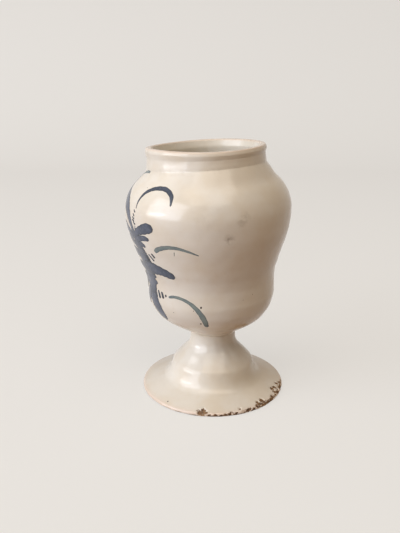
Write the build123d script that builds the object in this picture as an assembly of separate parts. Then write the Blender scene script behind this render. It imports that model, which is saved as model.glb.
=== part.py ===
# Footed apothecary jar in tin-glazed earthenware, hand thrown in two parts.
#
# A bellied bowl with a short collar is luted, slightly crooked, onto a hollow pedestal foot. The slip between
# them is a thin wedge that keys into rings scored in both clay faces. One coat of glaze lies on the outside,
# over bowl, seam and foot, and another lines the bowl. The foot's rim has lost chips of glaze and clay.
#
# Outlines are chains of corners (radius, height, rounding), walked upwards on the outside. The glazed outside
# is the outline that is given, and the clay and the lining follow it as parallel chains. Millimetres, +Z up,
# with the origin at the middle of the jar's footprint. The foot stands a little to the +X side of it, because
# the bowl leans towards -X.
import os
from math import atan2, cos, hypot, radians, sin, tan

from build123d import *

# Glazed outside of the bowl, before it leans
STEM_RADIUS = 17.7
BELLY_RADIUS = 48.4
BELLY_HEIGHT = 65.9
BELLY_ROUND = 30.0
WAIST_RADIUS = 48.7
WAIST_HEIGHT = 96.2
WAIST_ROUND = 38.0
FLANK_RADIUS = 60.5
FLANK_HEIGHT = 130.6
FLANK_ROUND = 64.0
SHOULDER_RADIUS = 63.5
SHOULDER_HEIGHT = 157.0
SHOULDER_ROUND = 30.0
CREASE_RADIUS = 44.5
CREASE_HEIGHT = 174.0
CREASE_ROUND = 3.0
LIP_RADIUS = 43.5
LIP_HEIGHT = 190.0
LIP_ROUND = 2.2

# Walls of bare clay, and the glaze on them
UNDERSIDE_WALL = 7.0
BELLY_WALL = 5.2
COLLAR_WALL = 3.6
FLOOR_HEIGHT = 57.5
FLOOR_ROUND = 18.0
GLAZE = 0.5

# Glazed outside of the foot, and the hollow beneath it
BRIM_RADIUS = 56.3
BRIM_HEIGHT = 2.6
BRIM_ROUND = 2.0
COVE_RADIUS = 35.2
COVE_HEIGHT = 9.4
COVE_ROUND = 10.5
DOME_RADIUS = 31.6
DOME_HEIGHT = 22.0
DOME_ROUND = 8.2
NECK_HEIGHT = 36.9
NECK_ROUND = 15.0
FOOT_WALL = 5.4
HOLLOW_HEIGHT = 33.0
HOLLOW_ROUND = 7.0
RING_EDGE = 0.4
GLAZE_STOP = 0.9

# The luted joint: the bowl's lean, and the slip between the two scored faces
JOINT_HEIGHT = 47.0
LEAN = 2.4
SLIP = 1.6
SCORE_PITCH = 3.2
SCORE_WIDTH = 1.2
SCORE_DEPTH = 0.8
SCORE_MARGIN = 2.2

# Chips on the rim of the foot: (direction in degrees from +X, ball radius, depth of the bite)
CHIPS = [
    (-5.5, 3.2, 1.1),
    (-14.0, 4.2, 1.4),
    (-23.5, 3.4, 1.2),
    (-35.0, 4.4, 1.1),
    (-48.0, 4.8, 1.8),
    (-62.0, 6.0, 0.9),
    (-77.0, 6.0, 0.8),
    (-99.5, 3.8, 1.4),
]

FOOT_FACE = JOINT_HEIGHT - SLIP / 2
BOWL_FACE = JOINT_HEIGHT + SLIP / 2


def arc_at(before, corner, after):
    """Tangent length, start, middle, end and centre of the arc that rounds a corner."""
    (r0, z0, _), (r1, z1, rounding), (r2, z2, _) = before, corner, after
    inward = atan2(z1 - z0, r1 - r0)
    outward = atan2(z2 - z1, r2 - r1)
    turn = atan2(sin(outward - inward), cos(outward - inward))
    side = 1 if turn > 0 else -1
    back = rounding * tan(abs(turn) / 2)
    start = (r1 - cos(inward) * back, z1 - sin(inward) * back)
    end = (r1 + cos(outward) * back, z1 + sin(outward) * back)
    centre = (start[0] - sin(inward) * rounding * side, start[1] + cos(inward) * rounding * side)
    halfway = inward + turn / 2
    middle = (centre[0] + sin(halfway) * rounding * side, centre[1] - cos(halfway) * rounding * side)
    return back, start, middle, end, centre


def eased(chain):
    """The chain with its roundings reduced where two neighbours would not fit on the run between them."""
    backs = [0.0]
    for before, corner, after in zip(chain, chain[1:], chain[2:]):
        backs.append(arc_at(before, corner, after)[0])
    backs.append(0.0)
    fits = []
    for (r0, z0, _), (r1, z1, _), back, forth in zip(chain, chain[1:], backs, backs[1:]):
        fits.append(min(1.0, 0.98 * hypot(r1 - r0, z1 - z0) / max(back + forth, 0.001)))
    middle = [(r, z, rounding * min(fit)) for (r, z, rounding), fit in zip(chain[1:-1], zip(fits, fits[1:]))]
    return [chain[0], *middle, chain[-1]]


def parallel(chain, distances):
    """The chain beside another, each run moved to its left by its own distance."""
    runs = []
    for (r0, z0, _), (r1, z1, _), distance in zip(chain, chain[1:], distances):
        length = hypot(r1 - r0, z1 - z0)
        ur, uz = (r1 - r0) / length, (z1 - z0) / length
        runs.append((r0 - uz * distance, z0 + ur * distance, ur, uz, length, distance))
    beside = [(runs[0][0], runs[0][1], 0.0)]
    for (r0, z0, ur, uz, _, d0), (r1, z1, vr, vz, _, d1), corner in zip(runs, runs[1:], chain[1:]):
        turn = ur * vz - uz * vr
        reach = ((r1 - r0) * vz - (z1 - z0) * vr) / turn
        side = 1 if turn > 0 else -1
        rounding = max(0.0, corner[2] - side * (d0 + d1) / 2)
        beside.append((r0 + ur * reach, z0 + uz * reach, rounding))
    r0, z0, ur, uz, length, _ = runs[-1]
    return [*beside, (r0 + ur * length, z0 + uz * length, 0.0)]


def cut_at(chain, height):
    """The chain with its first run shortened or lengthened, so that it starts at a height."""
    (r0, z0, _), (r1, z1, _) = chain[:2]
    return [(r0 + (r1 - r0) * (height - z0) / (z1 - z0), height, 0.0), *chain[1:]]


def turned(corners):
    """Solid of revolution about the Z axis, from a closed chain of corners."""
    edges = []
    ends = []
    around = [corners[-1], *corners, corners[0]]
    for before, corner, after in zip(around, around[1:], around[2:]):
        start = end = corner[:2]
        if corner[2]:
            _, start, middle, end, _ = arc_at(before, corner, after)
            edges.append(ThreePointArc(start, middle, end))
        ends.append((start, end))
    for (_, end), (start, _) in zip(ends, [*ends[1:], ends[0]]):
        if hypot(start[0] - end[0], start[1] - end[1]) > 0.001:
            edges.append(Line(end, start))
    return revolve(Plane.XZ * Face(Wire(edges)), Axis.Z)


def bowl_outside():
    """Glazed outside of the bowl, from the joint up to the crest of the lip."""
    return eased([
        (STEM_RADIUS, BOWL_FACE, 0.0),
        (BELLY_RADIUS, BELLY_HEIGHT, BELLY_ROUND),
        (WAIST_RADIUS, WAIST_HEIGHT, WAIST_ROUND),
        (FLANK_RADIUS, FLANK_HEIGHT, FLANK_ROUND),
        (SHOULDER_RADIUS, SHOULDER_HEIGHT, SHOULDER_ROUND),
        (CREASE_RADIUS, CREASE_HEIGHT, CREASE_ROUND),
        (LIP_RADIUS, LIP_HEIGHT, LIP_ROUND),
        (LIP_RADIUS - GLAZE - COLLAR_WALL / 2, LIP_HEIGHT, 0.0),
    ])


def foot_outside():
    """Glazed outside of the foot, from the coat's lower edge up to the joint."""
    return eased([
        (BRIM_RADIUS, GLAZE_STOP, 0.0),
        (BRIM_RADIUS, BRIM_HEIGHT, BRIM_ROUND),
        (COVE_RADIUS, COVE_HEIGHT, COVE_ROUND),
        (DOME_RADIUS, DOME_HEIGHT, DOME_ROUND),
        (STEM_RADIUS, NECK_HEIGHT, NECK_ROUND),
        (STEM_RADIUS, FOOT_FACE, 0.0),
    ])


def under_glaze(chain):
    """The clay surface under a coat of glaze, started at the same height as the coat."""
    return cut_at(parallel(chain, [GLAZE] * (len(chain) - 1)), chain[0][1])


def bowl_inside():
    """Clay surface inside the bowl, from the crest of the lip down to the middle of the floor."""
    clay = under_glaze(bowl_outside())
    walls = [UNDERSIDE_WALL, BELLY_WALL, BELLY_WALL, BELLY_WALL, BELLY_WALL, COLLAR_WALL]
    inner = cut_at(parallel(clay[:-1], walls), FLOOR_HEIGHT)
    crest_radius, crest_height, _ = clay[-1]
    return eased([
        (crest_radius, crest_height, 0.0),
        (inner[-1][0], crest_height, clay[-2][2]),
        *reversed(inner[1:-1]),
        (inner[0][0], FLOOR_HEIGHT, FLOOR_ROUND),
        (0.0, FLOOR_HEIGHT, 0.0),
    ])


def lining_surface():
    """Glazed inside of the bowl, lying on the clay inside, from the crest down to the middle of the floor."""
    clay = bowl_inside()
    glazed = parallel(clay, [-GLAZE] * (len(clay) - 1))
    return [*glazed[:-1], (0.0, FLOOR_HEIGHT + GLAZE, 0.0)]


def foot_inside():
    """Clay surface of the hollow, from the resting plane up to its blind top."""
    clay = under_glaze(foot_outside())[1:-1]
    inner = cut_at(parallel(clay, [FOOT_WALL] * (len(clay) - 1)), 0.0)
    low, high = inner[-2], inner[-1]
    share = (HOLLOW_HEIGHT - low[1]) / (high[1] - low[1])
    top_radius = low[0] + (high[0] - low[0]) * share
    return eased([*inner[:-1], (top_radius, HOLLOW_HEIGHT, HOLLOW_ROUND), (0.0, HOLLOW_HEIGHT, 0.0)])


def leaned(shape):
    """A shape of the bowl, turned towards -X about the middle of the joint."""
    return shape.rotate(Axis((0, 0, JOINT_HEIGHT), (0, 1, 0)), -LEAN)


def placed(shape):
    """A finished shape, moved along X so that the origin is at the middle of the jar's footprint."""
    flank, shoulder, crease = bowl_outside()[3:6]
    widest_height = arc_at(flank, shoulder, crease)[4][1]
    return Pos((widest_height - JOINT_HEIGHT) * sin(radians(LEAN)), 0, 0) * shape


def score_rings(face, depth):
    """Rings of triangular section beyond a joint face, one for each scored line."""
    rings = []
    radius = SCORE_PITCH
    while radius + SCORE_WIDTH / 2 <= STEM_RADIUS - GLAZE - SCORE_MARGIN:
        rings.append(turned([
            (radius - SCORE_WIDTH / 2, face, 0.0),
            (radius + SCORE_WIDTH / 2, face, 0.0),
            (radius, face + depth, 0.0),
        ]))
        radius += SCORE_PITCH
    return rings


def wedge(foot_radius, bowl_radius):
    """Solid between a circle on the foot's face and a circle on the leaning bowl's face."""
    low = Pos(0, 0, FOOT_FACE) * Circle(foot_radius)
    high = leaned(Pos(0, 0, BOWL_FACE) * Circle(bowl_radius))
    return loft([low.face(), high.face()], ruled=True)


def chip_balls():
    """Balls that bite the chips out of the rim of the foot."""
    edge, brim, cove = foot_outside()[:3]
    _, _, (edge_radius, edge_height), _, (centre_radius, centre_height) = arc_at(edge, brim, cove)
    way = atan2(edge_height - centre_height, edge_radius - centre_radius)
    balls = []
    for direction, ball_radius, bite in CHIPS:
        reach = ball_radius - bite
        ball = Pos(edge_radius + cos(way) * reach, 0, edge_height + sin(way) * reach) * Sphere(ball_radius)
        balls.append(ball.rotate(Axis.Z, direction))
    return balls


def thrown_bowl():
    """Bowl of fired clay: floor, belly, shoulder, collar and lip in one, with its seat scored."""
    clay = turned([(0.0, BOWL_FACE, 0.0), *under_glaze(bowl_outside()), *bowl_inside()[1:]])
    return placed(leaned(clay - score_rings(BOWL_FACE, SCORE_DEPTH)))


def thrown_foot():
    """Pedestal of fired clay: scored stem, dome, cove, brim and bare resting ring, hollow beneath."""
    outside = under_glaze(foot_outside())
    hollow = foot_inside()
    ring = [(hollow[0][0], 0.0, RING_EDGE), (outside[0][0], 0.0, RING_EDGE)]
    clay = turned([*ring, *outside, (0.0, FOOT_FACE, 0.0), *reversed(hollow[1:])])
    return placed(clay - score_rings(FOOT_FACE, -SCORE_DEPTH) - chip_balls())


def luting_slip():
    """Wedge of slip that joins bowl and foot and fills the scored rings of both."""
    slip = wedge(STEM_RADIUS - GLAZE, under_glaze(bowl_outside())[0][0])
    keys = [*score_rings(FOOT_FACE, -SCORE_DEPTH), *[leaned(ring) for ring in score_rings(BOWL_FACE, SCORE_DEPTH)]]
    return placed(slip + keys)


def outer_glaze():
    """Coat of glaze on the outside: the foot's down to its stop, the seam's, and the bowl's up to the crest."""
    foot_coat = turned([*foot_outside(), *reversed(under_glaze(foot_outside()))])
    bowl_coat = turned([*bowl_outside(), *reversed(under_glaze(bowl_outside()))])
    seam_coat = wedge(STEM_RADIUS, STEM_RADIUS)
    seam_coat -= wedge(STEM_RADIUS - GLAZE, under_glaze(bowl_outside())[0][0])
    return placed(foot_coat - chip_balls() + seam_coat + leaned(bowl_coat))


def lining_glaze():
    """Coat of glaze inside the bowl, from the crest of the lip to the floor."""
    return placed(leaned(turned([*bowl_inside(), *reversed(lining_surface())])))


def main():
    os.makedirs("parts", exist_ok=True)
    for piece in (thrown_bowl, thrown_foot, luting_slip, outer_glaze, lining_glaze):
        shape = piece()
        box = shape.bounding_box()
        print(piece.__name__, len(shape.solids()), "solid", "volume", round(shape.volume, 1), box.min, box.max)
        export_step(shape, "parts/" + piece.__name__ + ".step")


main()
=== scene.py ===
# Footed apothecary jar in tin-glazed earthenware: its glaze, clay and cobalt brushwork over the CAD frame
from math import atan2, cos, hypot, pi, radians, sin, tan

import bpy
import numpy as np
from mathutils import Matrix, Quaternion, Vector


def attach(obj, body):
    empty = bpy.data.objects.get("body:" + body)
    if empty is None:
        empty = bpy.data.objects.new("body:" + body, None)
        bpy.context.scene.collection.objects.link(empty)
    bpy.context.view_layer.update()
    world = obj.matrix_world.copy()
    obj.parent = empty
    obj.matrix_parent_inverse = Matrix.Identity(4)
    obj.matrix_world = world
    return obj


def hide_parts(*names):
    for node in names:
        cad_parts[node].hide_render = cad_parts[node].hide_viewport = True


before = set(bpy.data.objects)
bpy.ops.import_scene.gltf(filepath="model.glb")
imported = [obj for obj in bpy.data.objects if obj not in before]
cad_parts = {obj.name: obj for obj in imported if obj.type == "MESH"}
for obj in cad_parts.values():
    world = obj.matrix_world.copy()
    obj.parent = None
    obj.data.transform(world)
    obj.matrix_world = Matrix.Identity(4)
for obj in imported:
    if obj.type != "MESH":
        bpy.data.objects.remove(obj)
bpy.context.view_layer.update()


# One dictionary for the jar as a whole: millimetres and degrees, the same outlines as the solids
jar = {
    "footX": 4.1,                                      # the foot's own axis
    "jointHeight": 47.0,
    "lean": 2.4,                                       # of the bowl, towards -X
    "leanStarts": (53.8, 80.3),                        # the bend is low in the bowl, so the seam stays level
    "offCentre": 1.0,                                  # how far the bowl was luted off the foot's axis
    "collarEases": (158.0, 178.0),
    "collarLean": 2.6,                                 # the collar was pulled over a little more
    "glaze": 0.5,
    "outOfRound": (0.35, 0.22),                        # two-fold and three-fold, largest at the rim
    "rimWaver": 0.4,                                   # the lip's height goes up and down by this
    "rimRise": (0.95, -0.3, -0.2),                     # and stands this much up, more to the left and the front
    "creaseRise": (2.3, 2.7, -58.0),                   # the crease under the collar climbs towards the front right
    "throwRings": 0.07,                                # height of the finger ridges left from throwing
    "ringPitch": 8.5,
}

# The glazed outside, from the coat's lower edge on the foot to the crest of the lip.
# Each corner is radius, height, rounding, and the row spacing from there on.
outsideCorners = [
    (56.3, 0.9, 0.0, 0.3),
    (56.3, 2.6, 2.0, 0.3),
    (49.5, 4.79, 0.0, 1.2),
    (35.2, 9.4, 10.5, 1.4),
    (31.6, 22.0, 8.2, 1.4),
    (17.7, 36.9, 14.0, 1.3),
    (17.7, 47.2, 1.3, 0.8),
    (48.3, 67.3, 28.0, 2.2),
    (48.7, 96.2, 39.5, 2.4),
    (60.4, 130.3, 64.0, 2.4),
    (63.3, 157.1, 29.0, 2.2),
    (44.0, 173.8, 1.3, 0.5),
    (43.3, 182.6, 5.0, 0.6),
    (44.4, 187.4, 2.8, 0.45),
    (43.4, 190.0, 1.3, 0.4),
    (41.0, 190.0, 0.0, 0.4),
]


# Shared shaping


def outline(corners):
    # A polygon of corners walked as straight runs, each rounded corner replaced by its tangent arc
    rs, zs = [np.array([corners[0][0]])], [np.array([corners[0][1]])]
    at, step = corners[0][:2], corners[0][3]
    for before, corner, after in zip(corners, corners[1:], corners[2:] + [None]):
        end, arc = corner[:2], None
        if after and corner[2]:
            way = atan2(corner[1] - before[1], corner[0] - before[0])
            out = atan2(after[1] - corner[1], after[0] - corner[0])
            turn = atan2(sin(out - way), cos(out - way))
            side = 1 if turn > 0 else -1
            back = corner[2] * tan(abs(turn) / 2)
            end = (corner[0] - back * cos(way), corner[1] - back * sin(way))
            centre = (end[0] - side * corner[2] * sin(way), end[1] + side * corner[2] * cos(way))
            share = np.linspace(0, 1, max(4, round(abs(turn) * corner[2] / step)) + 1)[1:]
            swing = way + turn * share
            arc = (centre[0] + side * corner[2] * np.sin(swing), centre[1] - side * corner[2] * np.cos(swing))
        share = np.linspace(0, 1, max(1, round(hypot(end[0] - at[0], end[1] - at[1]) / step)) + 1)[1:]
        rs.append(at[0] + (end[0] - at[0]) * share)
        zs.append(at[1] + (end[1] - at[1]) * share)
        if arc:
            rs.append(arc[0])
            zs.append(arc[1])
            end = (arc[0][-1], arc[1][-1])
        at, step = end, corner[3]
    return np.concatenate(rs), np.concatenate(zs)


def measured(radius, height):
    # Distance walked along an outline, and its normal: the tangent turned a quarter to the right
    along = np.concatenate([[0], np.cumsum(np.hypot(np.diff(radius), np.diff(height)))])
    dr, dz = np.gradient(radius, along), np.gradient(height, along)
    size = np.hypot(dr, dz)
    return along, dz / size, -dr / size


def eased(value, low, high):
    # 0 below low, 1 above high, a smooth s-curve between
    share = np.clip((value - low) / (high - low), 0, 1)
    return share * share * (3 - 2 * share)


def lumps(points, size, seed, waves=9):
    # A smooth random field between about -1 and 1: a sum of sine waves in seeded directions
    rng = np.random.default_rng(seed)
    ways = rng.normal(size=(waves, 3))
    ways /= np.linalg.norm(ways, axis=1)[:, None]
    lengths = size * rng.uniform(0.7, 1.6, waves)
    phases = rng.uniform(0, 2 * pi, waves)
    return np.sin(points @ (ways / lengths[:, None]).T * 2 * pi + phases).sum(-1) / np.sqrt(waves * 1.2)


# The thrown axis as a table: at each height the lean there, and the running sum of it as a sideways drift
axisHeights = np.linspace(0.0, 200.0, 801)
axisLean = radians(jar["lean"]) * eased(axisHeights, *jar["leanStarts"])
axisLean -= radians(jar["lean"] - jar["collarLean"]) * eased(axisHeights, *jar["collarEases"])
axisStep = axisHeights[1] - axisHeights[0]
axisDrift = np.concatenate([[0], np.cumsum(np.sin(axisLean[:-1]) * axisStep)])
axisDrift += jar["offCentre"] * eased(axisHeights, 47, 52)
axisRise = np.concatenate([[0], np.cumsum(np.cos(axisLean[:-1]) * axisStep)])


def formed(radius, angle, height):
    # Radius, angle and height about the thrown axis, put into space: slightly out of round, with a wavering
    # rim, and each level turned by the lean at its height and drifted sideways with the axis
    spread = eased(height, 60, 190)
    two, three = jar["outOfRound"]
    radius = radius + spread * radius / 60 * (two * np.sin(2 * angle) + three * np.sin(3 * angle))
    rise = jar["rimWaver"] * (np.sin(2 * angle + 0.4) + 0.5 * np.cos(3 * angle + 1.4))
    rise = rise + jar["rimRise"][0] + jar["rimRise"][1] * np.cos(angle) + jar["rimRise"][2] * np.sin(angle)
    level, tilt, side = jar["creaseRise"]
    climb = level + tilt * np.cos(angle - radians(side))
    nearCrease = eased(height, 167, 174.4) * (1 - eased(height, 174.4, 189))
    height = height + eased(height, 165, 190) * rise + nearCrease * climb
    turn = np.interp(height, axisHeights, axisLean)
    x = jar["footX"] - np.interp(height, axisHeights, axisDrift) + radius * np.cos(angle) * np.cos(turn)
    z = np.interp(height, axisHeights, axisRise) + radius * np.cos(angle) * np.sin(turn)
    return np.stack([x, radius * np.sin(angle) + 0 * x, z], axis=-1)


skinRadius, skinHeight = outline(outsideCorners)
skinAlong, skinOut, skinUp = measured(skinRadius, skinHeight)


def skinRelief(angle, height):
    # The thrown surface's own unevenness, outwards: finger ridges that climb as they go round, and soft lumps
    climb = height / jar["ringPitch"] + angle / (2 * pi)
    points = np.stack([60 * np.cos(angle) + 0 * height, 60 * np.sin(angle) + 0 * height, height + 0 * angle], axis=-1)
    ridges = np.sin(2 * pi * climb) * (0.6 + 0.4 * lumps(points, 45, 3))
    calm = eased(height, 3, 12) * (1 - eased(height, 184, 189))
    return calm * (jar["throwRings"] * ridges + 0.16 * lumps(points, 38, 4) + 0.05 * lumps(points, 13, 5))


def skin(angle, along, lift):
    # A point on the glazed outside, by its angle and its distance along the outline, lifted off it by some mm
    radius, height = np.interp(along, skinAlong, skinRadius), np.interp(along, skinAlong, skinHeight)
    out, up = np.interp(along, skinAlong, skinOut), np.interp(along, skinAlong, skinUp)
    off = lift + skinRelief(angle, height)
    return formed(radius + out * off, angle, height + up * off)


def columns(fine=0.5, coarse=3.0, low=-108.0, high=9.0):
    # Angles round the jar, crowded where the foot's rim is chipped
    close = np.linspace(low, high, round((high - low) / fine) + 1)
    wide = np.linspace(high, low + 360, round((360 + low - high) / coarse) + 1)[1:-1]
    return np.radians(np.concatenate([close, wide]))


def latheMesh(name, points, loop=False):
    # A grid of rows and columns, closed round the columns. A loop closes its rows as well; otherwise the first
    # and last rows are single points on the axis and are closed with fans
    rows, cols = points.shape[:2]
    points = points / 1000
    nextCol = np.roll(np.arange(cols), -1)
    if loop:
        index = np.arange(rows * cols).reshape(rows, cols)
        upper = np.roll(index, -1, axis=0)
        quads = np.stack([index, index[:, nextCol], upper[:, nextCol], upper], -1).reshape(-1, 4)
        verts, fans = points.reshape(-1, 3), np.zeros((0, 3), int)
    else:
        inner = np.arange((rows - 2) * cols).reshape(rows - 2, cols)
        quads = np.stack([inner[:-1], inner[:-1, nextCol], inner[1:, nextCol], inner[1:]], -1).reshape(-1, 4)
        verts = np.concatenate([points[1:-1].reshape(-1, 3), points[:1, 0], points[-1:, 0]])
        first, last = len(verts) - 2, len(verts) - 1
        start, stop = inner[0], inner[-1]
        fans = np.concatenate([
            np.stack([np.full(cols, first), start[nextCol], start], -1),
            np.stack([stop, stop[nextCol], np.full(cols, last)], -1),
        ])
    return meshFrom(name, verts, quads, fans)


def meshFrom(name, verts, quads, fans, sharp=48):
    # Vertices, quads and triangles straight into a mesh, smooth but for edges sharper than an angle
    mesh = bpy.data.meshes.new(name)
    sizes = np.concatenate([np.full(len(quads), 4), np.full(len(fans), 3)])
    corners = np.concatenate([quads.reshape(-1), fans.reshape(-1)])
    mesh.vertices.add(len(verts))
    mesh.loops.add(len(corners))
    mesh.polygons.add(len(sizes))
    mesh.vertices.foreach_set("co", np.ascontiguousarray(verts, np.float32).reshape(-1))
    mesh.loops.foreach_set("vertex_index", corners.astype(np.int32))
    mesh.polygons.foreach_set("loop_start", (np.cumsum(sizes) - sizes).astype(np.int32))
    mesh.update(calc_edges=True)
    mesh.polygons.foreach_set("use_smooth", np.ones(len(sizes), bool))
    mesh.set_sharp_from_angle(angle=radians(sharp))
    mesh.validate()
    piece = bpy.data.objects.new(name, mesh)
    bpy.context.scene.collection.objects.link(piece)
    return piece


def mark(piece, name, values):
    # A number for each vertex, which the material reads by name
    layer = piece.data.attributes.new(name, "FLOAT", "POINT")
    layer.data.foreach_set("value", np.ascontiguousarray(values, np.float32).reshape(-1))


# Chips on the foot's rim

chips = {
    "roundingCentre": (54.3, 1.144),                   # the rim's rounding, seen in section
    "rounding": 2.0,
    "rough": 0.16,
    # direction from +X, way up in section, ball radius, depth, how far in from the rim
    "bites": [
        (-102.0, 84, 1.8, 0.6, 0.6), (-101.0, 60, 2.6, 0.9, 0), (-98.6, 92, 2.0, 0.7, 1.0), (-98.0, 66, 2.5, 0.9, 0),
        (-99.5, 30, 3.2, 1.0, 0), (-96.2, 74, 1.5, 0.6, 0.4), (-93.5, -6, 2.6, 0.5, 0), (-89.0, -8, 3.0, 0.6, 0),
        (-84.5, -4, 2.6, 0.5, 0), (-81.0, 0, 3.0, 0.6, 0), (-77.0, 10, 4.6, 0.8, 0), (-72.5, -2, 2.6, 0.55, 0),
        (-69.0, 84, 1.1, 0.4, 1.0), (-66.5, 0, 3.0, 0.6, 0), (-62.0, 20, 4.2, 0.9, 0), (-57.5, 6, 3.0, 0.7, 0),
        (-52.6, 52, 2.6, 0.9, 0), (-50.8, 84, 2.4, 0.8, 0.9), (-48.0, 36, 4.8, 1.8, 0), (-46.0, 88, 2.2, 0.8, 1.2),
        (-43.6, 44, 3.2, 1.1, 0), (-40.0, 16, 3.0, 0.9, 0), (-36.5, 30, 3.8, 1.1, 0), (-33.4, 58, 2.8, 0.9, 0),
        (-30.4, 30, 2.6, 0.8, 0), (-26.6, 76, 2.2, 0.8, 0.6), (-24.6, 104, 1.8, 0.6, 2.4), (-23.5, 40, 3.4, 1.2, 0),
        (-20.4, 98, 2.0, 0.7, 1.6), (-16.8, 60, 2.6, 0.9, 0), (-14.0, 36, 4.0, 1.3, 0), (-12.6, 98, 1.7, 0.6, 1.4),
        (-9.0, 70, 2.4, 0.8, 0.2), (-5.5, 36, 3.0, 1.0, 0),
    ],
}


def carved(points, grow):
    # Each chip is a ball whose radius wavers from place to place. A point of the foot that is inside the ball
    # slides inwards along the ball's own direction until it lies on the ball
    points = points.copy()
    radius, height = chips["roundingCentre"]
    for number, (direction, way, ball, bite, inward) in enumerate(chips["bites"]):
        a, w = radians(direction), radians(way)
        out = np.array([cos(w) * cos(a), cos(w) * sin(a), sin(w)])
        core = np.array([(radius - inward) * cos(a) + jar["footX"], (radius - inward) * sin(a), height + 0.32 * inward])
        centre = core + out * (chips["rounding"] + ball - bite)
        waver = lumps(points, 1.9, 20 + number) + 0.4 * lumps(points, 0.8, 60 + number)
        size = ball * (1 + chips["rough"] * waver) + grow
        away = points - centre
        ahead, short = away @ out, (away ** 2).sum(-1) - size ** 2
        slide = np.where(short < 0, ahead + np.sqrt(np.maximum(ahead ** 2 - short, 0)), 0)
        points -= slide[..., None] * out
    return points


# Materials


def hexColour(text):
    # sRGB hex to the linear colour that a socket takes
    parts = np.array([int(text[i:i + 2], 16) / 255 for i in (1, 3, 5)])
    linear = np.where(parts <= 0.04045, parts / 12.92, ((parts + 0.055) / 1.055) ** 2.4)
    return (*linear.tolist(), 1.0)


def addNode(tree, kind, settings=None, **inputs):
    # One node with its settings, and its inputs given as values or as sockets to link from
    node = tree.nodes.new("ShaderNode" + kind)
    for key, value in (settings or {}).items():
        setattr(node, key, value)
    for key, value in inputs.items():
        socket = node.inputs[int(key[1:])] if key[0] == "i" and key[1:].isdigit() else node.inputs[key.replace("_", " ")]
        if isinstance(value, bpy.types.NodeSocket):
            tree.links.new(value, socket)
        else:
            socket.default_value = value
    return node


def newMaterial(name):
    material = bpy.data.materials.new(name)
    material.use_nodes = True
    tree = material.node_tree
    shader = tree.nodes["Principled BSDF"]
    place = addNode(tree, "TexCoord").outputs["Object"]
    return material, tree, shader, place


def blendColours(tree, factor, first, second, kind="MIX"):
    node = addNode(tree, "Mix", {"data_type": "RGBA", "blend_type": kind, "clamp_factor": True}, i0=factor)
    for key, value in (("A", first), ("B", second)):
        socket = next(s for s in node.inputs if s.name == key and s.type == "RGBA")
        if isinstance(value, bpy.types.NodeSocket):
            tree.links.new(value, socket)
        else:
            socket.default_value = hexColour(value)
    return next(s for s in node.outputs if s.type == "RGBA")


def stepped(tree, value, low, high, top=1.0):
    return addNode(tree, "MapRange", {"interpolation_type": "SMOOTHSTEP"}, i0=value, i1=low, i2=high, i3=0.0, i4=top).outputs[0]


def tinGlaze(name, look):
    # Tin glaze: an opaque warm white, dipped and fired glassy. It is fullest where it pooled, thin and
    # rosy from the clay on every edge, with fine cloudiness, a few iron specks, dull handling dirt, and painted shade
    # in the crease
    material, tree, shader, place = newMaterial(name)
    clouds = addNode(tree, "TexNoise", Vector=place, Scale=38.0, Detail=3.0, Roughness=0.55).outputs[0]      # 26 mm
    mottle = addNode(tree, "TexNoise", Vector=place, Scale=210.0, Detail=4.0, Roughness=0.6).outputs[0]      # 5 mm
    colour = blendColours(tree, stepped(tree, clouds, 0.35, 0.68), look["milk"], look["cream"])
    colour = blendColours(tree, stepped(tree, mottle, 0.56, 0.8, 0.14), colour, look["buff"])
    thin = addNode(tree, "Attribute", {"attribute_name": "thin"}).outputs["Fac"]
    colour = blendColours(tree, thin, colour, look["rosy"])
    # This mark darkens the glaze at smudges and the seam, and paints shade into the crease under the collar
    dirt_and_shade = addNode(tree, "Attribute", {"attribute_name": "dirt_and_shade"}).outputs["Fac"]
    patchy = addNode(tree, "Math", {"operation": "MULTIPLY"}, i0=dirt_and_shade, i1=stepped(tree, mottle, 0.36, 0.66, 1.25)).outputs[0]
    colour = blendColours(tree, patchy, colour, look["dirt_and_shade"])
    cells = addNode(tree, "TexVoronoi", Vector=place, Scale=95.0)                                            # a cell is 10 mm
    fleck = stepped(tree, cells.outputs["Distance"], 0.035, 0.018)
    chosen = addNode(tree, "SeparateColor", i0=cells.outputs["Color"]).outputs[0]
    fleck = addNode(tree, "Math", {"operation": "MULTIPLY"}, i0=fleck, i1=stepped(tree, chosen, 0.80, 0.82)).outputs[0]
    colour = blendColours(tree, fleck, colour, "#5A4A3C")
    tree.links.new(colour, shader.inputs["Base Color"])
    gloss = addNode(tree, "MapRange", i0=mottle, i1=0.3, i2=0.7, i3=look["gloss"][0], i4=look["gloss"][1]).outputs[0]
    dull = addNode(tree, "Math", {"operation": "MULTIPLY_ADD"}, i0=patchy, i1=0.35, i2=gloss).outputs[0]
    tree.links.new(dull, shader.inputs["Roughness"])
    ripple = addNode(tree, "TexNoise", Vector=place, Scale=120.0, Detail=2.0, Roughness=0.45).outputs[0]     # 8 mm orange peel
    bump = addNode(tree, "Bump", Strength=0.35, Distance=0.00022, Height=ripple).outputs[0]
    pits = addNode(tree, "Bump", {"invert": True}, Strength=0.5, Distance=0.0002, Height=fleck, Normal=bump).outputs[0]
    tree.links.new(pits, shader.inputs["Normal"])
    shader.inputs["IOR"].default_value = 1.55
    return material


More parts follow.
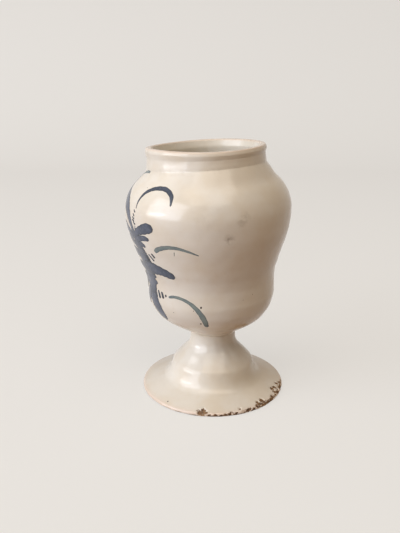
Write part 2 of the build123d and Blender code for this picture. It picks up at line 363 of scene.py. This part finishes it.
def biscuit(name, pale, dark, grime):
    # Fired earthenware: a soft buff clay, porous and dead matt, sandy, with old dirt rubbed into its breaks
    material, tree, shader, place = newMaterial(name)
    tone = addNode(tree, "TexNoise", Vector=place, Scale=150.0, Detail=5.0, Roughness=0.65).outputs[0]       # 7 mm
    grit = addNode(tree, "TexNoise", Vector=place, Scale=1100.0, Detail=3.0, Roughness=0.7).outputs[0]       # 1 mm sand, drawn coarse
    colour = blendColours(tree, stepped(tree, tone, 0.38, 0.64), dark, pale)
    colour = blendColours(tree, stepped(tree, grit, 0.52, 0.62, 0.85), colour, grime)
    tree.links.new(colour, shader.inputs["Base Color"])
    bump = addNode(tree, "Bump", Strength=0.9, Distance=0.0004, Height=grit).outputs[0]
    tree.links.new(bump, shader.inputs["Normal"])
    shader.inputs["Roughness"].default_value = 0.88
    shader.inputs["IOR"].default_value = 1.5
    return material


def cobaltPaint(name, look):
    # Cobalt brushed into the raw glaze and fired with it: a greyed blue under the same gloss, thin and
    # streaky where the brush dragged, gathering dark along the edges and where it was lifted
    material, tree, shader, place = newMaterial(name)
    pooled = addNode(tree, "Attribute", {"attribute_name": "pooled"}).outputs["Fac"]
    streak = addNode(tree, "TexNoise", Vector=place, Scale=520.0, Detail=4.0, Roughness=0.6).outputs[0]      # 2 mm
    wash = addNode(tree, "TexNoise", Vector=place, Scale=130.0, Detail=2.0, Roughness=0.5).outputs[0]        # 8 mm
    colour = blendColours(tree, stepped(tree, wash, 0.36, 0.66), look["full"], look["washed"])
    colour = blendColours(tree, stepped(tree, streak, 0.5, 0.72, 0.5), colour, look["thin"])
    colour = blendColours(tree, pooled, colour, look["dark"])
    tree.links.new(colour, shader.inputs["Base Color"])
    shader.inputs["Roughness"].default_value = 0.2
    shader.inputs["IOR"].default_value = 1.55
    return material


# The outside dirt colour also serves as the painted shade in the crease under the collar
outerLook = {
    "milk": "#EEEAE0", "cream": "#E8E0D0", "buff": "#DCCDB4", "rosy": "#E6C6B0", "dirt_and_shade": "#8E7F6C",
    "gloss": (0.13, 0.21),
}
liningLook = {
    "milk": "#EEE9DD", "cream": "#E9E0CF", "buff": "#D8C7AC", "rosy": "#E2C4AE", "dirt_and_shade": "#8A7660",
    "gloss": (0.16, 0.28),
}
outerGlaze = tinGlaze("tin glaze, outside", outerLook)
innerGlaze = tinGlaze("tin glaze, lining", liningLook)
footClay = biscuit("biscuit earthenware, foot", "#A58664", "#7C6048", "#40312A")
bowlClay = biscuit("biscuit earthenware, bowl", "#BC9874", "#9C7A5A", "#7A5E46")
slipClay = biscuit("luting slip, fired", "#C6A684", "#A98866", "#86694E")
fullBrush = {"full": "#485266", "washed": "#576176", "thin": "#707888", "dark": "#262C36"}
thinBrush = {"full": "#6F7F84", "washed": "#82908E", "thin": "#95A09A", "dark": "#454F54"}
ironTones = {"full": "#3A2F28", "washed": "#4A3C32", "thin": "#5A4A3C", "dark": "#241D18"}
fullCobalt = cobaltPaint("cobalt, full brush", fullBrush)
thinCobalt = cobaltPaint("cobalt, thin brush", thinBrush)
ironSpeck = cobaltPaint("iron speck in the glaze", ironTones)
print("materials made")


# Outer glaze

glazeCoat = {
    "underSpacing": 3.5,
    "sink": 0.02,                                      # the coat's underside lies this deep in the clay
    "brokenBack": (0.35, 0.6),                         # at a chip the coat stops short of the clay, above and under
    "offTheFloor": 0.2,
    "lowerEdgeWaver": 0.3,                             # mm, where the glaze was wiped off the resting ring
    # angle, height, size and depth of each smudge
    "smudges": [
        (-77.6, 134.9, 2.5, 0.7), (-66.6, 149.4, 2.6, 0.32), (-69.6, 146.4, 2.6, 0.32), (-92.0, 150.0, 9.0, 0.07),
    ],
}


def shellMarks(angle, height):
    # Where the coat is thin, and where it is darkened, by height: rosy along the rim and the lip, painted shade
    # in the crease under the collar, a dark line at the seam, and a few smudges that fade with distance
    thin = 0.38 * eased(height, 188.0, 190.0) + 0.5 * np.exp(-((height - 2.0) / 1.1) ** 2) + 0 * angle
    # The first term is painted shade in the crease under the collar; the second darkens the seam, and the smudges are
    # real stains
    dirt_and_shade = 0.10 * np.exp(-((height - 174.2) / 1.4) ** 2) + 0.16 * np.exp(-((height - 47.4) / 1.0) ** 2) + 0 * angle
    for a, z, size, depth in glazeCoat["smudges"]:
        across = (np.degrees(angle) - a + 180) % 360 - 180
        dirt_and_shade = dirt_and_shade + depth * np.exp(-(((across / size) ** 2) + ((height - z) / size) ** 2))
    return np.clip(thin, 0, 1), np.clip(dirt_and_shade, 0, 1)


def makeOuterGlaze():
    # Outside rows walked upwards, then rows on the clay walked down again, closed into one shell
    angles = columns()
    wide = np.arange(10.0, skinAlong[-1], glazeCoat["underSpacing"])
    under = np.concatenate([np.arange(0.0, 10.0, 0.6), wide, skinAlong[-1:]])
    a, s = np.meshgrid(angles, skinAlong)
    outer = skin(a, s, 0.0)
    b, t = np.meshgrid(angles, under[::-1])
    inner = skin(b, t, -jar["glaze"] - glazeCoat["sink"])
    edge = np.exp(-(skinAlong / 1.2) ** 2)[:, None] * glazeCoat["lowerEdgeWaver"] * lumps(outer, 5.0, 8)
    outer[..., 2] += edge
    inner[..., 2] += np.exp(-(t / 1.2) ** 2) * glazeCoat["lowerEdgeWaver"] * lumps(inner, 5.0, 8)
    above, below = glazeCoat["brokenBack"]
    shell = np.concatenate([carved(outer, above), carved(inner, below)])
    shell[..., 2] = np.maximum(shell[..., 2], glazeCoat["offTheFloor"])
    piece = latheMesh("outer_glaze_look", shell, loop=True)
    rows = np.concatenate([skinAlong, under[::-1]])
    c, h = np.meshgrid(angles, np.interp(rows, skinAlong, skinHeight))
    thin, dirt_and_shade = shellMarks(c, h)
    mark(piece, "thin", thin)
    mark(piece, "dirt_and_shade", dirt_and_shade)
    piece.data.materials.append(outerGlaze)
    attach(piece, "root")
    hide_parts("outer_glaze")
    return piece


makeOuterGlaze()
print("outer glaze made")


# Lining glaze

lining = {
    "clay": [
        (0.0, 57.5, 0.0, 3.0), (19.39, 57.5, 18.0, 3.0), (42.75, 71.28, 23.4, 3.5), (43.01, 97.18, 43.7, 3.5),
        (54.91, 131.86, 58.3, 3.5), (57.5, 154.72, 24.3, 3.0), (40.66, 169.79, 7.9, 2.0), (39.44, 189.5, 1.62, 0.8),
        (41.0, 189.5, 0.0, 0.8),
    ],
    "glazed": [
        (41.0, 190.0, 0.0, 0.45), (39.7, 190.0, 1.3, 0.6), (38.3, 184.6, 7.0, 0.9), (40.17, 169.56, 8.4, 1.4), (56.98, 154.52, 23.8, 2.0),
        (54.42, 131.97, 57.8, 2.4), (42.51, 97.26, 44.2, 2.4), (42.26, 71.56, 22.9, 2.0), (19.25, 58.0, 17.5, 1.6),
        (0.0, 58.0, 0.0, 1.6),
    ],
    "fingerRings": 0.28,                               # the potter's ridges are stronger inside
    "ringPitch": 7.5,
}


def makeLining():
    # The clay side walked up from the floor, the glazed side walked down again, with finger ridges inwards
    angles = np.linspace(-pi, pi, 161)[:-1]
    clayR, clayZ = outline(lining["clay"])
    glassR, glassZ = outline(lining["glazed"])
    along, out, up = measured(glassR, glassZ)
    a, s = np.meshgrid(angles, along)
    r, z = np.interp(s, along, glassR), np.interp(s, along, glassZ)
    ridge = np.sin(2 * pi * (z / lining["ringPitch"] + a / (2 * pi))) * lining["fingerRings"]
    ridge = ridge * eased(z, 59, 68) * (1 - eased(z, 168, 184)) * eased(r, 2, 12)
    spiral = 0.25 * np.sin(2 * pi * (r / 5.5 - a / (2 * pi))) * eased(r, 1, 6) * (1 - eased(z, 58.5, 62))
    off = ridge + spiral
    glass = formed(r + np.interp(s, along, out) * off, a, z + np.interp(s, along, up) * off)
    b, q = np.meshgrid(angles, np.arange(len(clayR)))
    clay = formed(clayR[q], b, clayZ[q])
    clay[-1] = glass[0] - np.array([0, 0, jar["glaze"]])
    piece = latheMesh("lining_glaze_look", np.concatenate([clay, glass]))
    heights = np.concatenate([clayZ[1:], glassZ[:-1]])
    c, h = np.meshgrid(angles, heights)
    thin = 0.38 * eased(h, 188.0, 190.0)
    # Darker towards the floor of the bowl and below about 170 mm, and slightly everywhere
    dirt_and_shade = 0.2 * (1 - eased(h, 58, 100)) + 0.08 * (1 - eased(h, 140, 170)) + 0.02
    mark(piece, "thin", np.append(thin.reshape(-1), [0, 0]))
    mark(piece, "dirt_and_shade", np.append(dirt_and_shade.reshape(-1), [0.25, 0.25]))
    piece.data.materials.append(innerGlaze)
    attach(piece, "root")
    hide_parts("lining_glaze")
    return piece


makeLining()
print("lining made")


# Clay bowl

bowl = {"seat": 47.8, "wallStarts": 48.0, "rowSpacing": 2.6}
scoring = {"pitch": 3.2, "width": 1.2, "depth": 0.8, "last": 13.0, "reach": 16.6}


def scored(limit, height, down):
    # Radius and height of a scored face from the axis outwards: v-shaped rings cut at an even pitch
    radius = np.arange(0.0, limit, 0.3)
    count = round(scoring["last"] / scoring["pitch"])
    nearest = np.clip(np.round(radius / scoring["pitch"]), 1, count) * scoring["pitch"]
    cut = np.clip(1 - np.abs(radius - nearest) / (scoring["width"] / 2), 0, 1) * scoring["depth"]
    return radius, height - cut if down else height + cut


def makeBowl():
    # The scored seat from the axis outwards, the outside under its glaze, over the lip, and down inside
    angles = np.linspace(-pi, pi, 145)[:-1]
    seatR, seatZ = scored(scoring["reach"], bowl["seat"], False)
    start = np.interp(bowl["wallStarts"], skinHeight, skinAlong)
    wall = np.concatenate([np.arange(start, skinAlong[-1], bowl["rowSpacing"]), skinAlong[-1:]])
    b, t = np.meshgrid(angles, wall)
    under = skin(b, t, -jar["glaze"])
    insideR, insideZ = outline(lining["clay"])
    insideR, insideZ = insideR[::-1], insideZ[::-1]
    c, q = np.meshgrid(angles, np.arange(len(insideR)))
    inside = formed(insideR[q], c, insideZ[q])
    d, k = np.meshgrid(angles, np.arange(len(seatR)))
    seat = formed(seatR[k], d, seatZ[k])
    piece = latheMesh("thrown_bowl_look", np.concatenate([seat, under, inside[1:]]))
    piece.data.materials.append(bowlClay)
    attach(piece, "root")
    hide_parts("thrown_bowl")
    return piece


makeBowl()
print("bowl made")


# Clay foot

foot = {
    "face": 46.2,
    "hollow": [
        (0.0, 33.0, 0.0, 1.6), (13.27, 33.0, 7.0, 1.4), (26.32, 19.01, 2.3, 1.0), (30.39, 4.75, 16.4, 1.0),
        (45.13, 0.0, 0.8, 0.6), (55.8, 0.0, 0.5, 0.35), (55.8, 0.9, 0.0, 0.3),
    ],
    "fingerRings": 0.3,
    "ringPitch": 5.0,
    "wear": 0.12,                                      # the resting ring is rubbed uneven by this
}


def makeFoot():
    # From the top of the hollow down it, over the resting ring, up the outside under the glaze, and in over
    # the scored face. The hollow keeps its finger ridges, and the rim is chipped as the glaze is
    angles = columns()
    hollowR, hollowZ = outline(foot["hollow"])
    along, out, up = measured(hollowR, hollowZ)
    a, s = np.meshgrid(angles, along)
    r, z = np.interp(s, along, hollowR), np.interp(s, along, hollowZ)
    ridge = foot["fingerRings"] * np.sin(2 * pi * (s / foot["ringPitch"] + a / (2 * pi)))
    ridge = ridge * eased(z, 1.5, 6) * eased(r, 2, 9)
    inside = formed(r + np.interp(s, along, out) * ridge, a, z + np.interp(s, along, up) * ridge)
    worn = (1 - eased(z, 0.2, 1.2)) * eased(r, 44, 47) * foot["wear"]
    inside[..., 2] += worn * (1 + lumps(inside, 6.0, 9))
    stop = np.interp(foot["face"], skinHeight, skinAlong)
    wall = np.concatenate([skinAlong[skinAlong < 10.0][1:], np.arange(10.0, stop, 2.0), [stop]])
    b, t = np.meshgrid(angles, wall)
    under = skin(b, t, -jar["glaze"])
    faceR, faceZ = scored(scoring["reach"], foot["face"], True)
    d, k = np.meshgrid(angles, np.arange(len(faceR))[::-1])
    face = formed(faceR[k], d, faceZ[k])
    points = np.concatenate([inside, under, face])
    rough = carved(points, 0.0)
    moved = np.linalg.norm(rough - points, axis=-1)
    rough += 0.12 * np.minimum(moved, 0.5)[..., None] * lumps(points, 1.1, 11)[..., None]
    rough[..., 2] = np.maximum(rough[..., 2], 0)
    piece = latheMesh("thrown_foot_look", rough)
    piece.data.materials.append(footClay)
    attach(piece, "root")
    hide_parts("thrown_foot")
    return piece


makeFoot()
print("foot made")


# Luting slip

slip = {"radius": 17.1, "reach": 16.4, "low": 46.2, "high": 47.8}


def makeSlip():
    # A thin disc that fills the scored rings of both faces, its edge squeezed out round between them
    angles = np.linspace(-pi, pi, 97)[:-1]
    lowR, lowZ = scored(slip["reach"], slip["low"], True)
    highR, highZ = scored(slip["reach"], slip["high"], False)
    swing = np.linspace(-pi / 2, pi / 2, 7)
    middle, half = (slip["low"] + slip["high"]) / 2, (slip["high"] - slip["low"]) / 2
    edgeR, edgeZ = slip["radius"] - half + half * np.cos(swing), middle + half * np.sin(swing)
    r, z = np.concatenate([lowR, edgeR, highR[::-1]]), np.concatenate([lowZ, edgeZ, highZ[::-1]])
    a, k = np.meshgrid(angles, np.arange(len(r)))
    piece = latheMesh("luting_slip_look", formed(r[k], a, z[k]))
    piece.data.materials.append(slipClay)
    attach(piece, "root")
    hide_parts("luting_slip")
    return piece


makeSlip()
print("slip made")


# Cobalt brushwork

brush = {
    "panelCentre": -205.0,                             # the garland is mirrored about this direction
    "lift": 0.04,
    "layer": 0.014,                                    # strokes over one another differ by this
    "body": 0.05,
    "sunk": 0.12,                                      # the underside lies this far inside the glaze
    "bluntest": 0.12,                                  # a stroke ends at this share of its width, not in a point
}

# Each stroke: angle and height of its points, then its width in mm at each of them. A small width at an end
# is a point brushed out, a large one is a blunt, round end
fullStrokes = [
    ([(-184, 167), (-174, 161.5), (-164, 155), (-157.5, 148.5), (-154, 142), (-152, 135), (-150.6, 127)], [2, 7.5, 10, 8.4, 6.2, 5.8, 6]),
    ([(-152.6, 142.5), (-151.2, 137), (-149.6, 131), (-148, 125)], [0.8, 1.7, 2.0, 2.6]),
    ([(-146.8, 141.4), (-148.6, 136), (-148, 131), (-147, 126)], [0.7, 1.6, 2.2, 2.6]),
    ([(-150.6, 133), (-148.8, 126), (-148.6, 118), (-149.6, 109.5), (-151, 101), (-153.6, 93.5), (-155, 85)], [4, 11, 14, 15, 15, 15, 12]),
    ([(-149.5, 134.8), (-143.5, 137.8), (-138.2, 139.8), (-133.4, 141.4), (-128.2, 141.6)], [4.4, 5.8, 7.2, 7.6, 5.6]),
    ([(-149, 131), (-142.6, 132.7), (-137.6, 133.4), (-133.4, 133.0)], [5, 4.4, 4.0, 2.2]),
    ([(-149, 126.6), (-143.6, 128), (-139.4, 126.6)], [5.4, 4.2, 2.2]),
    ([(-150, 121.6), (-146, 122.6), (-142.8, 121.6)], [5, 4, 2.2]),
    ([(-151, 108), (-143.5, 109.6), (-137, 109.6), (-131.6, 109), (-126.8, 107.9), (-122.4, 106.4), (-118.9, 105.2)],
     [12, 11.6, 9.6, 7.8, 6.8, 5.8, 4.2]),
    ([(-153, 104.5), (-146, 103.6), (-140.2, 102.2)], [8, 6.4, 2.6]),
    ([(-153, 98.4), (-147.2, 98.6), (-141, 97)], [5.4, 4.8, 3.0]),
    ([(-156, 90), (-152.4, 83.4), (-148.8, 78.4), (-145.6, 73.8), (-142.4, 69.8), (-139.8, 66.4)], [12, 13, 12.6, 11.4, 9.0, 4.0]),
    ([(-153, 131), (-160, 135), (-167, 137.4), (-174, 137)], [4.6, 6.4, 7.2, 5.0]),
    ([(-153, 125), (-160, 129), (-166, 130)], [5.0, 5.2, 3.0]),
    ([(-154, 118), (-162, 118.6), (-171, 116), (-178, 111.5)], [7.0, 8.4, 6.6, 3.2]),
    ([(-156, 107), (-163, 108.6), (-169, 107)], [5.4, 5.2, 2.8]),
    ([(-158, 99), (-166, 97), (-173, 91), (-178, 85)], [6, 8, 6.6, 2.8]),
    ([(-159, 90), (-165, 82), (-171, 74)], [6, 7.2, 2.6]),
]
hookStroke = ([(-145.2, 153.4), (-145.0, 156.5), (-144.0, 160.0), (-141.2, 163.9), (-137, 166), (-132.8, 167.1), (-128, 167.5),
               (-123, 167.3), (-118.5, 165.8), (-115.6, 163), (-115, 157.6)], [0.7, 1.2, 1.9, 2.8, 3.0, 3.1, 3.2, 3.3, 3.3, 2.9, 1.0])
thinStrokes = [
    ([(-188, 161.5), (-181.5, 166.4), (-175.4, 170.8), (-170, 172.6), (-161.5, 173.5), (-153.6, 173.5)], [0.6, 0.9, 1.2, 1.6, 1.9, 1.7]),
    ([(-130.6, 124.2), (-127.6, 126.6), (-123.6, 128.2), (-118, 129.3), (-112, 129.2), (-106.8, 127.9), (-102.4, 126.4), (-97.4, 124.3)],
     [3.1, 3.4, 3.3, 2.9, 2.4, 2.0, 1.5, 0.6]),
    ([(-129.4, 88.3), (-123.6, 89.4), (-117.2, 88.9), (-110.8, 86.8), (-106, 83.9), (-101.2, 79.3), (-97.6, 73.2), (-95.4, 66)],
     [1.7, 2.2, 2.3, 2.5, 3.0, 3.7, 4.2, 3.0]),
    ([(-114.4, 126.2), (-114.9, 123.1)], [0.5, 0.2]),
]
tickStrokes = [
    ([(-147.8, 152.5), (-145.8, 150.7)], [0.9, 1.5]),
    ([(-148.6, 149.8), (-146.6, 147.9)], [0.9, 1.7]),
    ([(-149.6, 147.3), (-146.8, 145.9)], [0.9, 1.6]),
    ([(-149.8, 145.4), (-147.2, 144.0)], [0.9, 1.7]),
    ([(-148.6, 143.5), (-146.0, 142.2)], [0.9, 1.7]),
    ([(-144.0, 119.6), (-142.3, 114.0)], [1.1, 1.4]),
    ([(-141.4, 120.4), (-139.8, 114.2)], [1.1, 1.5]),
    ([(-139.0, 121.2), (-135.0, 116.2)], [1.1, 1.6]),
    ([(-135.2, 122.4), (-133.0, 119.0)], [1.6, 1.8]),
    ([(-146.8, 91.4), (-145.4, 85.0)], [1.9, 2.6]),
    ([(-142.4, 91.6), (-140.6, 85.2)], [1.9, 2.7]),
    ([(-137.6, 91.2), (-136.2, 85.8)], [1.8, 2.6]),
    ([(-133.6, 88.8), (-131.8, 88.6)], [2.6, 2.6]),
]
speckStrokes = [
    ([(-100.2, 83.3), (-98.6, 83.1)], [1.8, 1.8]), ([(-101.6, 69.2), (-100.2, 69.2)], [1.8, 1.8]),
    ([(-106.3, 80.5), (-105.7, 80.2)], [0.8, 0.8]), ([(-125.9, 76.9), (-125.4, 76.6)], [0.6, 0.6]),
    ([(-131.4, 3.7), (-130.5, 3.7)], [1.1, 1.1]), ([(62.0, 118.0), (62.8, 118.0)], [0.9, 0.9]),
    ([(20.0, 141.0), (20.6, 141.2)], [0.7, 0.7]), ([(-63.0, 86.0), (-62.6, 86.0)], [0.6, 0.6]),
]


def throughPoints(values, share):
    # A Catmull-Rom curve through the values, read at shares from 0 to 1 of the way
    values = np.asarray(values, float)
    padded = np.concatenate([2 * values[:1] - values[1:2], values, 2 * values[-1:] - values[-2:-1]])
    at = np.clip(share * (len(values) - 1), 0, len(values) - 1 - 1e-9)
    left = at.astype(int)
    u = (at - left).reshape(-1, *([1] * (values.ndim - 1)))
    p0, p1, p2, p3 = (padded[left + k] for k in range(4))
    return 0.5 * (2 * p1 + (p2 - p0) * u + (2 * p0 - 5 * p1 + 4 * p2 - p3) * u ** 2 + (3 * p1 - p0 - 3 * p2 + p3) * u ** 3)


def strokeGrid(route, widths, number, flip):
    # A stroke laid on the glaze: its middle line is a smooth curve in angle and distance along the outline,
    # and each cross line is square to it. The width closes round at both ends, the edge wavers with the
    # bristles, and the top is a low crown over a flat underside inside the glaze
    route = np.array(route, float)
    if flip:
        route[:, 0] = 2 * brush["panelCentre"] - route[:, 0]
    flat = np.stack([np.radians(route[:, 0]), np.interp(route[:, 1], skinHeight, skinAlong)], -1)
    size = np.hypot(np.diff(flat[:, 0]) * 55, np.diff(flat[:, 1])).sum()
    count = int(np.clip(size / 0.9, 9, 44))
    share = (1 - np.cos(np.linspace(0, pi, count))) / 2 * 0.5 + np.linspace(0, 1, count) * 0.5
    line = throughPoints(flat, share)
    width = np.maximum(throughPoints(widths, share), 0.15)
    girth = np.interp(line[:, 1], skinAlong, skinRadius)
    step = np.gradient(line, axis=0)
    step[:, 0] *= girth
    step /= np.linalg.norm(step, axis=1)[:, None]
    walked = np.concatenate([[0], np.cumsum(np.hypot(np.diff(line[:, 0]) * girth[:-1], np.diff(line[:, 1])))])
    ends = np.minimum(walked, walked[-1] - walked)
    near = np.clip(ends / np.maximum(width / 2, 0.1), 0, 1)
    closing = np.maximum(np.sqrt(near * (2 - near)), brush["bluntest"])
    rng = np.random.default_rng(200 + number + (500 if flip else 0))
    bristle = 1 + 0.05 * np.sin(walked[:, None] * rng.uniform(0.8, 1.5, 2) + rng.uniform(0, 6, 2))
    across = np.linspace(-1, 1, 9)
    side = np.where(across < 0, bristle[:, :1], bristle[:, 1:])
    reach = across * side * (width * closing / 2)[:, None]
    angle = line[:, :1] - step[:, 1:] * reach / girth[:, None]
    along = line[:, 1:] + step[:, :1] * reach
    crown = brush["body"] * (1 - across ** 4) * np.minimum(1, closing)[:, None]
    lift = brush["lift"] + brush["layer"] * (number % 9)
    top = skin(angle, along, lift + crown)
    base = skin(angle, along, lift - brush["sunk"] + 0 * crown)
    edge = np.abs(across)[None, :] ** 5 * 0.75
    tip = np.clip(1 - (walked[-1] - walked) / max(2.0, 0.2 * walked[-1]), 0, 1)[:, None] ** 1.5 * 0.65
    pooled = np.clip(edge + tip, 0, 1)
    return top, base, pooled


def makeStrokes(name, strokes, material, mirrored=True, darker=0.0):
    # All strokes of one brush in one mesh, each a thin closed shell
    verts, quads, marks, count = [], [], [], 0
    jobs = [(k, s, False) for k, s in enumerate(strokes)] + [(k, s, True) for k, s in enumerate(strokes) if mirrored]
    for number, (route, widths), flip in jobs:
        top, base, pooled = strokeGrid(route, widths, number, flip)
        rows, cols = top.shape[:2]
        ring = np.concatenate([top, base[:, ::-1]], axis=1)
        index = count + np.arange(rows * 2 * cols).reshape(rows, 2 * cols)
        nextCol = np.roll(np.arange(2 * cols), -1)
        wall = np.stack([index[:-1], index[1:], index[1:][:, nextCol], index[:-1][:, nextCol]], -1).reshape(-1, 4)
        low, high = index[0], index[-1]
        pairs = np.arange(cols - 1)
        mate = 2 * cols - 1 - pairs
        capLow = np.stack([low[pairs], low[pairs + 1], low[mate - 1], low[mate]], -1)
        capHigh = np.stack([high[pairs], high[mate], high[mate - 1], high[pairs + 1]], -1)
        verts.append(ring.reshape(-1, 3))
        marks.append(np.concatenate([pooled, pooled[:, ::-1]], axis=1).reshape(-1))
        quads += [wall, capLow, capHigh]
        count += rows * 2 * cols
    piece = meshFrom(name, np.concatenate(verts) / 1000, np.concatenate(quads), np.zeros((0, 3), int), sharp=80)
    mark(piece, "pooled", np.clip(np.concatenate(marks) + darker, 0, 1))
    piece.data.materials.append(material)
    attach(piece, "root")
    return piece


makeStrokes("cobalt_garland", fullStrokes, fullCobalt)
makeStrokes("cobalt_hooks", [hookStroke], fullCobalt, darker=0.4)
makeStrokes("cobalt_tendrils", thinStrokes, thinCobalt)
makeStrokes("cobalt_ticks", tickStrokes, fullCobalt, darker=0.55)
makeStrokes("iron_specks", speckStrokes, ironSpeck, mirrored=False)
print("brushwork made")


# Floor, light and camera

studio = {
    "seen": "#EFEDE9",                                 # what the eye sees of floor and wall, mixed with their light
    "seenShare": 0.66,
    "roomSeen": 0.85,
    "felt": "#906C48",                                 # what the jar gets back from them: a table's warm tone
    "ambient": ("#EFD8B8", 0.2),
    # name, place, aims at, roll in degrees, width, height, watts, colour
    "lamps": [
        ("window wall", (-1.85, -0.95, 0.8), (0, 0, 0.12), 0, 2.0, 2.1, 45.0, "#EFF4FF"),
        ("window", (-1.5, -0.46, 0.36), (0, 0, 0.12), 12, 0.8, 0.12, 2.6, "#FFFFFF"),
        ("ceiling", (0.1, -0.9, 2.3), (0, 0, 0.1), 0, 2.4, 2.0, 26.0, "#FFEEDA"),
    ],
}


def makeFloor():
    # A flat floor that turns up into a wall behind: a quarter circle between two straight runs, swept sideways
    run, rise, turn = 1.1, 2.4, 0.45
    swing = np.linspace(0, pi / 2, 17)
    y = np.concatenate([[-3.0, 0.0], run + turn * np.sin(swing), [run + turn]])
    z = np.concatenate([[0.0, 0.0], turn - turn * np.cos(swing), [rise]])
    x = np.linspace(-3.0, 3.0, 9)
    gx, k = np.meshgrid(x, np.arange(len(y)))
    points = np.stack([gx, y[k], z[k]], -1)
    rows, cols = points.shape[:2]
    index = np.arange(rows * cols).reshape(rows, cols)
    quads = np.stack([index[:-1, :-1], index[:-1, 1:], index[1:, 1:], index[1:, :-1]], -1).reshape(-1, 4)
    floor = meshFrom("studio_floor", points.reshape(-1, 3), quads, np.zeros((0, 3), int))
    material, tree, shader, place = newMaterial("painted studio floor")
    shader.inputs["Base Color"].default_value = hexColour(studio["felt"])
    shader.inputs["Roughness"].default_value = 0.95
    path = addNode(tree, "LightPath")
    seen = addNode(tree, "Math", {"operation": "MAXIMUM"}, i0=path.outputs["Is Camera Ray"], i1=path.outputs["Is Glossy Ray"])
    share = addNode(tree, "Math", {"operation": "MULTIPLY"}, i0=seen.outputs[0], i1=studio["seenShare"])
    tree.links.new(blendColours(tree, seen.outputs[0], studio["felt"], studio["seen"]), shader.inputs["Base Color"])
    glow = addNode(tree, "Emission", Color=hexColour(studio["seen"]), Strength=1.0)
    both = addNode(tree, "MixShader", None, i0=share.outputs[0], i1=shader.outputs[0], i2=glow.outputs[0])
    tree.links.new(both.outputs[0], tree.nodes["Material Output"].inputs["Surface"])
    floor.data.materials.append(material)


def makeLamps():
    for name, place, target, roll, width, height, watts, colour in studio["lamps"]:
        lamp = bpy.data.lights.new(name, "AREA")
        lamp.shape, lamp.size, lamp.size_y = "RECTANGLE", width, height
        lamp.energy, lamp.color = watts, hexColour(colour)[:3]
        holder = bpy.data.objects.new(name, lamp)
        holder.location = place
        way = Vector(target) - Vector(place)
        holder.rotation_euler = (way.to_track_quat("-Z", "Y") @ Quaternion((0, 0, 1), radians(roll))).to_euler()
        holder.visible_camera = False
        bpy.context.scene.collection.objects.link(holder)


def makeRoom():
    # The room beyond the floor: warm and dim where it lights the jar, the pale wall's own tone where it is seen
    world = bpy.data.worlds.new("room light")
    world.use_nodes = True
    tree = world.node_tree
    felt = tree.nodes["Background"]
    felt.inputs["Color"].default_value = hexColour(studio["ambient"][0])
    felt.inputs["Strength"].default_value = studio["ambient"][1]
    seen = addNode(tree, "Background", Color=hexColour(studio["seen"]), Strength=studio["roomSeen"])
    path = addNode(tree, "LightPath")
    either = addNode(tree, "Math", {"operation": "MAXIMUM"}, i0=path.outputs["Is Camera Ray"], i1=path.outputs["Is Glossy Ray"])
    clear = addNode(tree, "Math", {"operation": "MAXIMUM"}, i0=either.outputs[0], i1=path.outputs["Is Transmission Ray"])
    both = addNode(tree, "MixShader", None, i0=clear.outputs[0], i1=felt.outputs[0], i2=seen.outputs[0])
    tree.links.new(both.outputs[0], tree.nodes["World Output"].inputs["Surface"])
    bpy.context.scene.world = world


def makeCamera():
    # The photograph's view: 17.7 degrees down, a little left of the foot's axis
    camera = bpy.data.cameras.new("camera")
    camera.lens, camera.sensor_width = 40.98, 36.0
    holder = bpy.data.objects.new("camera", camera)
    holder.location = (-0.0062, -0.4464, 0.2405)
    holder.rotation_euler = (radians(72.32), 0, 0)
    bpy.context.scene.collection.objects.link(holder)
    bpy.context.scene.camera = holder


makeFloor()
makeLamps()
makeRoom()
makeCamera()
bpy.context.scene.view_settings.view_transform = "Standard"
print("stage made")
